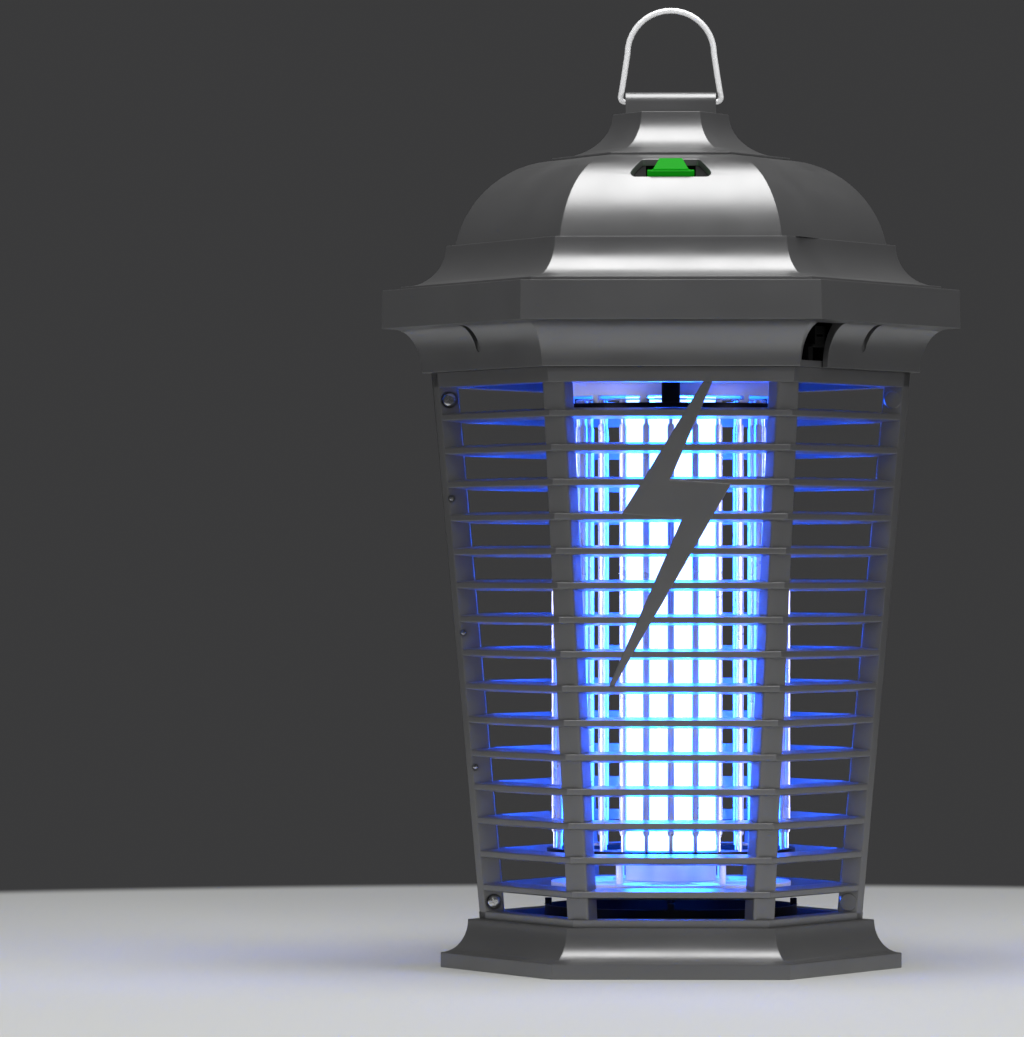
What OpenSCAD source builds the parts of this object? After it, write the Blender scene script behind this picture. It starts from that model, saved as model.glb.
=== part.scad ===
// Lantern-style electric bug zapper with a six-sided body.
// Millimetres, +Z up. The origin is on the floor under the middle of the base.
// The front face looks towards -Y and two corners of the hexagon lie on the X axis.
// "Corner radius" is the distance from the Z axis to a corner of the hexagon.

/* [Base] */
// Corner radius of the base at the floor
base_corner = 87.4; // [84:0.1:90]
// Corner radius where the base meets the cage
base_neck = 77; // [76:0.1:80]
// Height of the upright lip round the foot of the base
base_lip_h = 5.7; // [4:0.1:8]
// Height of the base
base_h = 18.3; // [17:0.1:20]

/* [Cage] */
// Corner radius at the bottom of the cage
cage_low_corner = 72.3; // [71:0.1:74]
// Corner radius at the top of the cage
cage_top_corner = 90.7; // [88:0.1:91]
// Height of the cage
cage_h = 207; // [200:1:210]
// Number of louvre slats, one above the other
slat_count = 15; // [13:1:15]
// Distance from one slat to the next
slat_pitch = 12.7; // [12:0.1:12.9]
// Height of a slat at its outer edge
slat_edge = 2.3; // [1.8:0.1:3]
// Height of a slat at its inner edge
slat_root = 4.3; // [3.4:0.1:5]
// Depth of slats and rails, across the face
slat_depth = 8.2; // [7:0.1:9]

/* [Grid and lamp] */
// Radius of the ring of outer grid rods
outer_ring_r = 44; // [43.6:0.1:44.4]
// Number of outer grid rods
outer_rods_n = 30; // [30]
// Diameter of an outer grid rod
outer_rod_d = 2.6; // [2:0.1:3]
// Radius of the ring of inner grid rods
inner_ring_r = 35; // [34.6:0.1:35.4]
// Number of inner grid rods
inner_rods_n = 24; // [24]
// Diameter of an inner grid rod
inner_rod_d = 2; // [1.6:0.1:2.4]
// Width over the lamp tubes
lamp_w = 34.3; // [32:0.1:36]
// Diameter of one lamp tube
tube_d = 12.6; // [12:0.1:13]

/* [Roof] */
// Corner radius of the brim
brim_corner = 109.9; // [108:0.1:111]
// Height of the brim band
brim_h = 14.8; // [14:0.1:16]
// Height of the cove under the brim
cove_h = 16.5; // [16:0.1:17]
// Corner radius of the skirt's lip
skirt_corner = 102.6; // [101:0.1:104]
// Corner radius of the cupola's lip
cupola_corner = 45.2; // [44:0.1:46]
// Wall of the housings
wall = 2.4; // [2:0.1:2.6]

/* [Hanger and switch] */
// Diameter of the hanging ring's wire
ring_wire = 2.2; // [2:0.1:2.6]
// Width of the lug that the ring turns in
lug_w = 34.3; // [32:0.1:35]
// Width of the rocker at its foot
rocker_w = 17.4; // [15:0.1:18]

/* [Tray] */
// Outer diameter of the catch tray
tray_d = 95.4; // [94:0.1:95.6]
// Height of the tray's rim above the floor
tray_top = 24.1; // [23:0.1:25]

/* [Hidden] */
$fn = 64;
charcoal = [0.29, 0.29, 0.285];
black_plastic = [0.05, 0.05, 0.055];
pale_plastic = [0.85, 0.87, 0.9];
steel = [0.75, 0.76, 0.78];
across = cos(30);
big = 300;
arc_steps = 14;

// Levels
cage_z0 = base_h;
cage_z1 = base_h + cage_h;
cove_z1 = cage_z1 + cove_h;
brim_z1 = cove_z1 + brim_h;
skirt_z1 = brim_z1 + 16.9;
dome_z1 = skirt_z1 + 32.3;
cupola_z1 = dome_z1 + 17.4;
pivot_z = cupola_z1 + 4.8;

// Cage
top_rail_h = 5.6;
bottom_rail_h = 3;
flange_t = 4;
flange_w = 8.2;
first_slat_z = cage_z1 - 17;
side_faces = [210, 330];
post_w = 9.2;
post_depth = 10.4;
post_setback = 0.9;
post_flat = 3.2;
bolt_t = 2.2;
bolt_outline = [
    [11.8, cage_z1 - top_rail_h], [15.3, cage_z1 - top_rail_h], [-0.2, 183.8], [22.3, 182.3],
    [-20.7, 107.9], [-22.8, 107.9], [4.1, 169.4], [-18, 171.2]
];
flange_screw_inset = 5.9;
flange_screw_zs = [cage_z0 + 6.7, cage_z1 - 10.3];
flange_pin_inset = 3.5;
flange_pin_zs = [76, 126.8, 177.6];
pin_r = 0.9;
screw_r = 1.5;
head_r = 2.9;
recess_r = 3.4;

// Grid
plate_t = 2;
top_plate_z = cage_z1 - 14.3;
bottom_plate_z = 43.5;
neck_r = 0.7;
neck_l = 6;
head_l = 1.2;
plate_in_r = 33;
plate_out_r = 47;
spider_z = 31;
spider_r = 45.4;
post_ring_r = 38.4;
collar_r = 40.2;
hanger_r = 3.45;
lead_r = 0.8;
bus_t = 0.6;

// Electronics
board_z = cage_z1 + 8;

// Lamp
tube_ring_r = (lamp_w - tube_d) / 2;
lamp_top_z = cage_z1 - 9.3;
end_cap_top = 40.2;

// Roof
dome_arc_r = 40.1;
dome_arc_c = [42.5, dome_z1 - dome_arc_r];
skirt_screw_ring = 94;
dome_screw_ring = 75.5;
cupola_screw_ring = 29.5;
ceiling_screw_ring = 74.4;
deck_z = cage_z1 + 2.5;
slit_w = 3.2;
slit_z = cage_z1 + 8.2;
slit_floor = 82.3;
inlet_z = cage_z1 + 8.3;

// Tray
tray_r = tray_d / 2;
tray_wall = 1.6;
tray_z0 = 2;
base_screw_ring = 57.8;
collar_in_r = 50.3;
lug_z = 10.8;
lug_h = 2;
bayonet_turns = [30, 150, 270];

// Switch: the dome slopes here, and the rocker turns on pins along X
slope = 34.6;
switch_y = -53.9;
switch_z = dome_z1 - 6.1;
recess_z = -2.6;
window_corner_r = 1.6;
pin_y = -1.6;
pin_z = -6;
rocker_pin_r = 1.3;

function cage_corner(z) =
    cage_low_corner + (cage_top_corner - cage_low_corner) * (z - cage_z0) / cage_h;
// Points on an elliptical arc in a profile
function arc(centre, radii, start, end, steps = arc_steps) =
    [for (i = [0 : steps])
        let (a = start + (end - start) * i / steps)
        [centre[0] + radii[0] * cos(a), centre[1] + radii[1] * sin(a)]];

// Solid that is a hexagon at every height. profile is a list of [corner radius, z], upwards.
module hex_solid(profile) {
    right = [for (p = profile) [p[0] * across, p[1]]];
    left = [for (i = [len(profile) - 1 : -1 : 0]) [-profile[i][0] * across, profile[i][1]]];
    intersection_for (turn = [30, 90, 150])
        rotate([0, 0, turn])
            rotate([90, 0, 0])
                linear_extrude(height = big, center = true)
                    polygon(concat(right, left));
}

// Straight hexagonal prism
module hex_prism(corner, z0, z1) {
    translate([0, 0, z0])
        linear_extrude(height = z1 - z0)
            circle(r = corner, $fn = 6);
}

module ring(r_out, r_in, z0, z1) {
    translate([0, 0, z0])
        difference() {
            cylinder(r = r_out, h = z1 - z0);
            translate([0, 0, -1])
                cylinder(r = r_in, h = z1 - z0 + 2);
        }
}

module rod(r, x, y, z0, z1) {
    translate([x, y, z0])
        cylinder(r = r, h = z1 - z0);
}

// Repeats its children at equal turns about the Z axis
module around(count, radius, start = 0) {
    for (i = [0 : count - 1])
        rotate([0, 0, start + i * 360 / count])
            translate([radius, 0, 0])
                children();
}

// Block that keeps only what is in front of a plane y = edge
module front_side(edge) {
    translate([-big / 2, edge - big, -10])
        cube([big, big, 2 * big]);
}

// Pan-head screw pointing along -Z from a head whose underside is at z = 0
module screw(length, r = screw_r) {
    difference() {
        union() {
            cylinder(r = head_r, h = 1.3);
            translate([0, 0, -length])
                cylinder(r = r, h = length + 0.5);
        }
        for (turn = [0, 90])
            rotate([0, 0, turn])
                translate([-1.7, -0.3, 0.5])
                    cube([3.4, 0.6, 1]);
    }
}

// ---- Base and tray ----

module base_outline(inset) {
    hex_solid(concat(
        [[base_corner - inset, -1], [base_corner - inset, base_lip_h]],
        arc([base_corner - inset, base_h - inset], [base_corner - base_neck, base_h - base_lip_h - inset],
            270, 180)));
}

module base_plinth() {
    color(charcoal)
        difference() {
            union() {
                difference() {
                    intersection() {
                        base_outline(0);
                        hex_prism(base_corner + 1, 0, base_h);
                    }
                    intersection() {
                        base_outline(wall);
                        hex_prism(base_corner + 1, -1, base_h - wall);
                    }
                }
                ring(collar_in_r + 2, collar_in_r, 2.5, base_h - 1);
                for (turn = bayonet_turns)
                    rotate([0, 0, turn])
                        bayonet_ledge();
                around(6, base_screw_ring, 30)
                    rod(3.8, 0, 0, 4, base_h - 1);
            }
            translate([0, 0, base_h - wall - 1])
                cylinder(r = tray_r + 0.7, h = wall + 2);
            around(6, base_screw_ring, 30) {
                rod(head_r + 0.2, 0, 0, 3, 8);
                rod(screw_r + 0.1, 0, 0, 3, base_h + 1);
            }
        }
}

// Ledge on the collar that holds a lug of the tray, with a stop at one end
module bayonet_ledge() {
    intersection() {
        ring(collar_in_r + 1, tray_r + 0.7, lug_z - 2.3, lug_z - 0.3);
        rotate([0, 0, -16])
            sector(28);
    }
    intersection() {
        ring(collar_in_r + 1, tray_r + 0.7, lug_z - 1, lug_z + 3);
        rotate([0, 0, -16])
            sector(4);
    }
}

// Wedge from the Z axis that opens by the given angle, up to 90 degrees
module sector(angle) {
    translate([0, 0, -10])
        linear_extrude(height = 60)
            polygon([[0, 0], [90, 0], [90 * cos(angle / 2), 90 * sin(angle / 2)],
                [90 * cos(angle), 90 * sin(angle)]]);
}

module base_screws() {
    color(steel)
        around(6, base_screw_ring, 30)
            translate([0, 0, 8])
                rotate([180, 0, 0])
                    screw(12.6);
}

module catch_tray() {
    color(black_plastic)
        union() {
            difference() {
                rod(tray_r, 0, 0, tray_z0, tray_top);
                rod(tray_r - tray_wall, 0, 0, tray_z0 + 1.8, tray_top + 1);
                rod(28, 0, 0, tray_z0 - 1, tray_z0 + 0.8);
            }
            // finger bar in the recess under the floor
            translate([-25, -3, tray_z0])
                cube([50, 6, 1.2]);
            for (turn = bayonet_turns)
                rotate([0, 0, turn])
                    intersection() {
                        ring(collar_in_r - 0.5, tray_r - 0.8, lug_z, lug_z + lug_h);
                        rotate([0, 0, -8])
                            sector(16);
                    }
            // catches that stand on the rim
            around(4, tray_r - 1.3, 0)
                translate([0, 0, tray_top - 4])
                    cylinder(r = 1.3, h = 6.4);
        }
}

// ---- Cage ----

module cage_outline(inset) {
    hex_solid([
        [cage_corner(cage_z0 - 5) - inset / across, cage_z0 - 5],
        [cage_corner(cage_z1 + 5) - inset / across, cage_z1 + 5]]);
}

// One corner post with a flat front, which the slats of the two faces pass
module corner_post(turn) {
    low = cage_corner(cage_z0 - 1);
    high = cage_corner(cage_z1 + 1);
    intersection() {
        cage_outline(post_setback);
        hex_prism(big, cage_z0, cage_z1);
        rotate([0, 0, turn])
            rotate([90, 0, 0])
                linear_extrude(height = post_w, center = true)
                    polygon([
                        [low - post_depth, cage_z0 - 1], [low - post_flat, cage_z0 - 1],
                        [high - post_flat, cage_z1 + 1], [high - post_depth, cage_z1 + 1]]);
    }
}

// Slats of one face, met at the corners by those of the next face. The
// notches cut for them run a little past the corner.
module slats(face_turn, past = 0) {
    wide = 120 * tan(30) + past;
    rotate([0, 0, face_turn])
        intersection() {
            rotate([90, 0, 0])
                linear_extrude(height = 120, center = true)
                    for (i = [0 : slat_count - 1])
                        slat_section(first_slat_z - i * slat_pitch);
            translate([0, 0, cage_z0])
                linear_extrude(height = cage_h)
                    polygon([[-past / tan(30), 0], [120, wide], [120, -wide]]);
        }
}

module slat_section(z) {
    half = slat_edge / 2;
    inner = cage_corner(z) * across - slat_depth;
    polygon([
        [inner, z - slat_root / 2], [cage_corner(z - half) * across, z - half],
        [cage_corner(z + half) * across, z + half], [inner, z + slat_root / 2]]);
}

// Side panel, which stops at the flange
module side_slats(face_turn, front, past = 0) {
    intersection() {
        slats(face_turn, past);
        if (front) {
            front_side(-flange_t);
        } else {
            rotate([0, 0, 180])
                front_side(-flange_t);
        }
    }
}

// Frame of one half: two rails, two corner posts and the two flanges
module cage_frame() {
    difference() {
        union() {
            intersection() {
                difference() {
                    cage_outline(0);
                    cage_outline(slat_depth);
                }
                front_side(0);
                union() {
                    hex_prism(big, cage_z0, cage_z0 + bottom_rail_h);
                    hex_prism(big, cage_z1 - top_rail_h, cage_z1);
                }
            }
            intersection() {
                difference() {
                    cage_outline(0);
                    cage_outline(flange_w);
                }
                translate([-big / 2, -flange_t, cage_z0])
                    cube([big, flange_t, cage_h]);
            }
            for (turn = [240, 300])
                corner_post(turn);
            // plain bosses on the right flange
            for (z = flange_screw_zs)
                translate([cage_corner(z) - flange_screw_inset, 0, z])
                    rotate([90, 0, 0])
                        cylinder(r = recess_r, h = flange_t + 0.6);
        }
        slats(270, 0.2);
        for (turn = side_faces)
            side_slats(turn, true, 0.2);
        for (z = flange_screw_zs) {
            translate([-cage_corner(z) + flange_screw_inset, 0, z])
                rotate([90, 0, 0]) {
                    translate([0, 0, -1])
                        cylinder(r = screw_r + 0.1, h = flange_t + 2);
                    translate([0, 0, 2])
                        cylinder(r = recess_r, h = flange_t);
                }
            translate([cage_corner(z) - flange_screw_inset, 1, z])
                rotate([90, 0, 0])
                    cylinder(r = screw_r, h = flange_t + 0.1);
        }
        for (z = flange_pin_zs)
            for (side = [-1, 1])
                translate([side * (cage_corner(z) - flange_pin_inset), 1, z])
                    rotate([90, 0, 0])
                        cylinder(r = pin_r, h = (side < 0) ? flange_t + 2 : flange_t - 0.4);
        for (turn = [210, 270, 330])
            rotate([0, 0, turn]) {
                rod(screw_r, base_screw_ring, 0, cage_z0 - 1, cage_z0 + bottom_rail_h - 0.4);
                rod(screw_r + 0.1, ceiling_screw_ring, 0, cage_z1 - 6, cage_z1 + 1);
                rod(head_r + 0.2, ceiling_screw_ring, 0, cage_z1 - 6, cage_z1 - 4);
            }
    }
}

module front_cage_frame() {
    color(charcoal)
        cage_frame();
}

module rear_cage_frame() {
    color(charcoal)
        rotate([0, 0, 180])
            cage_frame();
}

module front_louvres() {
    color(charcoal)
        difference() {
            slats(270);
            bolt_solid();
        }
}

module front_left_louvres() {
    color(charcoal)
        side_slats(210, true);
}

module front_right_louvres() {
    color(charcoal)
        side_slats(330, true);
}

module rear_louvres() {
    color(charcoal)
        slats(90);
}

module rear_left_louvres() {
    color(charcoal)
        side_slats(150, false);
}

module rear_right_louvres() {
    color(charcoal)
        side_slats(30, false);
}

// Emblem in the plane of the slats' outer edges
module bolt_solid() {
    intersection() {
        difference() {
            cage_outline(0);
            cage_outline(bolt_t);
        }
        front_side(-20);
        rotate([90, 0, 0])
            linear_extrude(height = big)
                polygon(bolt_outline);
    }
}

module lightning_bolt() {
    color(charcoal)
        bolt_solid();
}

// Two screws enter the left flange from the front, two the right flange from the rear
module flange_screws() {
    color(steel)
        for (turn = [0, 180])
            rotate([0, 0, turn])
                for (z = flange_screw_zs)
                    translate([-cage_corner(z) + flange_screw_inset, -2, z])
                        rotate([90, 0, 0])
                            screw(4.9);
}

module flange_pins() {
    color(steel)
        for (turn = [0, 180])
            rotate([0, 0, turn])
                for (z = flange_pin_zs)
                    translate([-cage_corner(z) + flange_pin_inset, flange_t - 1.4, z])
                        rotate([90, 0, 0])
                            cylinder(r = pin_r, h = 2 * flange_t - 1.6);
}

// ---- Upper housing ----

module housing_outline(inset) {
    hex_solid(concat(
        [[94.6 - inset, cage_z1 - 1]],
        arc([105.4 - inset, cage_z1], [10.8, cove_h + inset], 180, 92),
        [[brim_corner - inset, cove_z1 + inset + 0.3], [brim_corner - 0.3 - inset, brim_z1]]));
}

// Turns its children from the front face to another face
module on_face(face_turn) {
    rotate([0, 0, face_turn + 90])
        children();
}

module upper_housing() {
    color(charcoal)
        difference() {
            union() {
                difference() {
                    intersection() {
                        housing_outline(0);
                        hex_prism(big, cage_z1, brim_z1);
                    }
                    intersection() {
                        housing_outline(wall / across);
                        hex_prism(big, cage_z1 - 2, brim_z1 - wall);
                    }
                    hex_prism(skirt_corner - 13.6, brim_z1 - wall - 1, brim_z1 + 1);
                }
                // bosses for the ceiling screws
                around(6, ceiling_screw_ring, 30)
                    rod(3.4, 0, 0, deck_z, deck_z + 13);
                // webs that tie each boss to the wall behind it
                around(6, ceiling_screw_ring, 30)
                    translate([0, -1, deck_z])
                        cube([6.3, 2, 12]);
            }
            around(6, ceiling_screw_ring, 30)
                rod(screw_r, 0, 0, cage_z1 + 1, deck_z + 9.5);
            around(6, skirt_screw_ring, 0)
                rod(screw_r + 0.1, 0, 0, brim_z1 - wall - 1, brim_z1 + 1);
            for (turn = side_faces)
                on_face(turn)
                    cove_slit();
            on_face(330)
                inlet_opening();
        }
}

// Upright slit with a round foot, which runs out as the cove curves in below it
module cove_slit() {
    translate([-slit_w / 2, -95, slit_z])
        cube([slit_w, 95 - slit_floor, cove_z1 - slit_z]);
    translate([0, -slit_floor, slit_z])
        rotate([90, 0, 0])
            cylinder(r = slit_w / 2, h = 20);
}

// Opening over the whole height of the cove, beside the front right corner
module inlet_opening() {
    translate([-46, -96, cage_z1 - 1])
        cube([20, 20.5, cove_h + 0.8]);
}

// Socket with two flat contacts, on a ledge with a post to the ceiling plate
module mains_inlet() {
    color(black_plastic)
        on_face(330)
            difference() {
                union() {
                    translate([-33, -80.4, inlet_z])
                        cube([15, 12, 7]);
                    translate([-35, -80.5, inlet_z - 0.9])
                        cube([17, 12.1, 1]);
                    translate([-35, -78.8, deck_z])
                        cube([3.4, 3.2, inlet_z - deck_z]);
                    translate([-22, -78.8, deck_z])
                        cube([3.4, 8, inlet_z - deck_z]);
                }
                for (x = [-31.5, -24.5])
                    translate([x, -82, inlet_z + 3])
                        cube([5, 9, 1]);
            }
}

module ceiling_plate() {
    color(charcoal)
        difference() {
            hex_prism(91.4, cage_z1, deck_z);
            rod(16.2, 0, 0, cage_z1 - 1, cage_z1 + 4);
            around(6, ceiling_screw_ring, 30)
                rod(screw_r + 0.1, 0, 0, cage_z1 - 1, cage_z1 + 4);
            rod(lead_r, 0, inner_ring_r, cage_z1 - 1, cage_z1 + 4);
            rod(lead_r, 0, outer_ring_r, cage_z1 - 1, cage_z1 + 4);
        }
}

module ceiling_screws() {
    color(steel)
        around(6, ceiling_screw_ring, 30)
            translate([0, 0, cage_z1 - 4])
                rotate([180, 0, 0])
                    screw(14);
}

// ---- Roof ----

module roof_skirt() {
    lip = 1.4;
    rise = skirt_z1 - brim_z1 - lip;
    color(charcoal)
        difference() {
            hex_solid(concat(
                [[skirt_corner, brim_z1], [skirt_corner, brim_z1 + lip]],
                arc([skirt_corner - 1.4, skirt_z1], [skirt_corner - 86.7, rise], 270, 180)));
            hex_solid(concat(
                [[skirt_corner - 4.5, brim_z1 - 1], [skirt_corner - 4.5, brim_z1]],
                arc([skirt_corner - 4.5, skirt_z1 - wall], [skirt_corner - 87.4, rise - 1], 270, 180)));
            hex_prism(dome_screw_ring - 6, skirt_z1 - wall - 1, skirt_z1 + 1);
            around(6, skirt_screw_ring, 0)
                rod(screw_r, 0, 0, brim_z1 - 1, brim_z1 + 2);
            around(6, dome_screw_ring, 0)
                rod(screw_r + 0.1, 0, 0, skirt_z1 - 5, skirt_z1 + 1);
        }
}

module dome_outline(inset) {
    start = asin((skirt_z1 - dome_arc_c[1]) / dome_arc_r);
    hex_solid(concat(
        [[81.7 - inset / across, skirt_z1 - 1]],
        arc(dome_arc_c, [dome_arc_r - inset / across, dome_arc_r - inset], start, 90)));
}

// Window in the dome's front face, narrower at its top
module switch_window(grow) {
    r = window_corner_r + grow;
    right = concat(
        arc([13.22, -57.6], [r, r], -90, 28.3, 4),
        arc([9.24, -50.2], [r, r], 28.3, 90, 4));
    left = [for (i = [len(right) - 1 : -1 : 0]) [-right[i][0], right[i][1]]];
    linear_extrude(height = 60)
        polygon(concat(right, left));
}

module roof_dome() {
    color(charcoal)
        difference() {
            union() {
                difference() {
                    intersection() {
                        dome_outline(0);
                        hex_prism(big, skirt_z1, dome_z1);
                    }
                    intersection() {
                        dome_outline(wall);
                        hex_prism(big, skirt_z1 - 1, dome_z1 - wall);
                    }
                }
                around(6, dome_screw_ring, 0)
                    rod(3.2, 0, 0, skirt_z1, skirt_z1 + 8);
            }
            hex_prism(26, dome_z1 - wall - 1, dome_z1 + 1);
            translate([0, 0, dome_z1 - 18])
                switch_window(0);
            around(6, dome_screw_ring, 0)
                rod(screw_r, 0, 0, skirt_z1 - 1, skirt_z1 + 6.5);
            around(3, cupola_screw_ring, 0)
                rod(screw_r + 0.1, 0, 0, dome_z1 - 5, dome_z1 + 1);
        }
}

// Screws that hold the skirt, the dome and the cupola from inside
module roof_screws() {
    color(steel) {
        around(6, skirt_screw_ring, 0)
            translate([0, 0, brim_z1 - wall])
                rotate([180, 0, 0])
                    screw(wall + 1.8);
        around(6, dome_screw_ring, 0)
            translate([0, 0, skirt_z1 - wall])
                rotate([180, 0, 0])
                    screw(wall + 6);
        around(3, cupola_screw_ring, 0)
            translate([0, 0, dome_z1 - wall])
                rotate([180, 0, 0])
                    screw(wall + 2.3);
    }
}

module cupola_cap() {
    lip = 0.9;
    rise = cupola_z1 - dome_z1 - lip;
    color(charcoal)
        difference() {
            union() {
                difference() {
                    hex_solid(concat(
                        [[cupola_corner, dome_z1], [cupola_corner, dome_z1 + lip]],
                        arc([cupola_corner - 1.2, cupola_z1], [cupola_corner - 23.3, rise], 270, 180)));
                    hex_solid(concat(
                        [[cupola_corner - 4.5, dome_z1 - 1], [cupola_corner - 4.5, dome_z1]],
                        arc([cupola_corner - 4.5, cupola_z1 - wall],
                            [cupola_corner - 23.6, rise - 1.2], 270, 180)));
                }
                around(3, cupola_screw_ring, 0)
                    rod(2.9, 0, 0, dome_z1, dome_z1 + 3);
            }
            rod(2.1, 0, 0, cupola_z1 - 5, cupola_z1 + 1);
            around(3, cupola_screw_ring, 0)
                rod(screw_r, 0, 0, dome_z1 - 1, dome_z1 + 2.5);
        }
}

// ---- Hanger ----

module hanger_lug() {
    r = 3.8;
    color(charcoal)
        difference() {
            union() {
                translate([-lug_w / 2, 0, pivot_z])
                    rotate([0, 90, 0])
                        cylinder(r = r, h = lug_w);
                translate([-lug_w / 2, -r, cupola_z1])
                    cube([lug_w, 2 * r, pivot_z - cupola_z1]);
            }
            for (side = [-1, 1])
                translate([side * lug_w / 2, 0, pivot_z])
                    rotate([0, -90 * side, 0])
                        translate([0, 0, -1])
                            cylinder(r = ring_wire / 2 + 0.08, h = 6.2);
            rod(1.6, 0, 0, cupola_z1 - 1, cupola_z1 + 6.5);
        }
}

module hanger_screw() {
    color(steel)
        translate([0, 0, cupola_z1 - wall])
            rotate([180, 0, 0])
                screw(8.4, 1.6);
}

// Ring and its two pins in the lug, one bent wire
module hanging_ring() {
    r = ring_wire / 2;
    foot = 19.15;
    arch_r = 16.4;
    arch_z = pivot_z + 18.3;
    lean = atan((foot - arch_r) / (arch_z - pivot_z));
    leg = norm([foot - arch_r, arch_z - pivot_z]);
    color(steel)
        union() {
            translate([0, 0, arch_z])
                rotate([90, 0, 0])
                    rotate_extrude(angle = 180)
                        translate([arch_r, 0])
                            circle(r = r, $fn = 24);
            for (side = [-1, 1]) {
                translate([side * foot, 0, pivot_z])
                    rotate([0, -side * lean, 0])
                        cylinder(r = r, h = leg);
                translate([side * arch_r, 0, arch_z])
                    sphere(r = r + 0.02);
                translate([side * foot, 0, pivot_z])
                    sphere(r = r + 0.02);
                translate([side * foot, 0, pivot_z])
                    rotate([0, -90 * side, 0])
                        cylinder(r = r, h = foot - lug_w / 2 + 4.8);
            }
        }
}

// ---- Switch ----

// Moves its children to the switch: x along the face, y up the slope, z out of it
module at_switch() {
    translate([0, switch_y, switch_z])
        rotate([slope, 0, 0])
            children();
}

// Room for the rocker, through the bezel and into the body
module rocker_slot() {
    at_switch()
        translate([-rocker_w / 2 - 0.5, -6.5, -16])
            cube([rocker_w + 1, 11.6, 24]);
}

module rocker_pins(r, length) {
    at_switch()
        translate([-length / 2, pin_y, pin_z])
            rotate([0, 90, 0])
                cylinder(r = r, h = length);
}

module switch_bezel() {
    color(black_plastic)
        difference() {
            intersection() {
                difference() {
                    dome_outline(wall);
                    dome_outline(wall + 1.6);
                }
                translate([0, 0, dome_z1 - 20])
                    switch_window(1.6);
            }
            rocker_slot();
        }
}

module switch_body() {
    color(black_plastic)
        difference() {
            at_switch()
                translate([-rocker_w / 2 - 2.4, -7.6, -19])
                    cube([rocker_w + 4.8, 13.8, 14.2]);
            rocker_slot();
            rocker_pins(rocker_pin_r + 0.06, rocker_w + 10);
        }
}

// Rocker with a tapered pad on its top, an upright front and two pins
module power_rocker() {
    foot = rocker_w / 2;
    color([0.1, 0.6, 0.12])
        union() {
            at_switch() {
                translate([-foot, -5.4, -9])
                    cube([rocker_w, 8.2, 9 + recess_z]);
                translate([-foot, -5.4, recess_z - 1])
                    cube([rocker_w, 1.4, 5.6]);
                translate([0, 0, recess_z - 1])
                    linear_extrude(height = 6.4)
                        polygon([[-6.7, -5.2], [6.7, -5.2], [4.3, 2.8], [-4.3, 2.8]]);
            }
            rocker_pins(rocker_pin_r, rocker_w + 4.4);
        }
}

// ---- Lamp ----

module lamp_collar() {
    color(pale_plastic) {
        difference() {
            union() {
                ring(collar_r, collar_r - 2, cage_z1 - 9.5, cage_z1);
                intersection() {
                    ring(collar_r, collar_r - 2, top_plate_z + plate_t, cage_z1 - 9);
                    for (i = [0 : 5])
                        rotate([0, 0, 15 + 30 * i])
                            translate([-60, -1.5, 0])
                                cube([120, 3, big]);
                }
            }
        }
    }
}

module lamp_socket() {
    color(pale_plastic)
        difference() {
            union() {
                rod(16, 0, 0, lamp_top_z + 6, cage_z1 + 16);
                rod(20, 0, 0, deck_z, deck_z + 2.5);
            }
            rod(11.3, 0, 0, lamp_top_z + 5, cage_z1 + 13);
        }
}

module lamp_base() {
    color(pale_plastic)
        union() {
            rod(lamp_w / 2, 0, 0, lamp_top_z, lamp_top_z + 5.8);
            rod(11, 0, 0, lamp_top_z + 5, cage_z1 + 10);
        }
}

// Four upright tubes, joined in pairs near the foot
module lamp_tubes() {
    r = tube_d / 2;
    color([0.8, 0.9, 1])
        union() {
            around(4, tube_ring_r, 0) {
                translate([0, 0, end_cap_top + r])
                    cylinder(r = r, h = lamp_top_z - end_cap_top - r);
                translate([0, 0, end_cap_top + r])
                    sphere(r = r);
            }
            for (turn = [0, 180])
                rotate([0, 0, turn + 45])
                    translate([tube_ring_r * cos(45), 0, end_cap_top + 9])
                        rotate([90, 0, 0])
                            cylinder(r = 3, h = tube_ring_r * 1.4, center = true);
        }
}

module lamp_end_cap() {
    color(pale_plastic)
        difference() {
            rod(lamp_w / 2, 0, 0, spider_z + plate_t, end_cap_top);
            rod(4, 0, 0, spider_z, spider_z + 5);
        }
}

// ---- Grid ----

module plate_holes() {
    around(outer_rods_n, outer_ring_r, 6)
        cylinder(r = neck_r, h = 20, center = true);
    around(inner_rods_n, inner_ring_r, 0)
        cylinder(r = neck_r, h = 20, center = true);
}

module grid_plate(z) {
    color(black_plastic)
        difference() {
            ring(plate_out_r, plate_in_r, z, z + plate_t);
            translate([0, 0, z])
                plate_holes();
        }
}

module top_grid_plate() {
    grid_plate(top_plate_z);
}

module bottom_grid_plate() {
    grid_plate(bottom_plate_z);
}

// A rod with a thin neck and a small head at each end
module grid_rod(d) {
    low = bottom_plate_z;
    high = top_plate_z + plate_t;
    union() {
        rod(d / 2, 0, 0, low + plate_t + neck_l, top_plate_z - neck_l);
        rod(neck_r, 0, 0, low - head_l + 0.2, high + head_l - 0.2);
        rod(d / 2, 0, 0, low - head_l, low);
        rod(d / 2, 0, 0, high, high + head_l);
    }
}

module outer_grid_rods() {
    color(steel)
        around(outer_rods_n, outer_ring_r, 6)
            grid_rod(outer_rod_d);
}

module inner_grid_rods() {
    color(steel)
        around(inner_rods_n, inner_ring_r, 0)
            grid_rod(inner_rod_d);
}

module outer_bus_ring() {
    z = bottom_plate_z - head_l - bus_t;
    color(steel)
        ring(outer_ring_r + 1.1, outer_ring_r - 1.1, z, z + bus_t);
}

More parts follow.
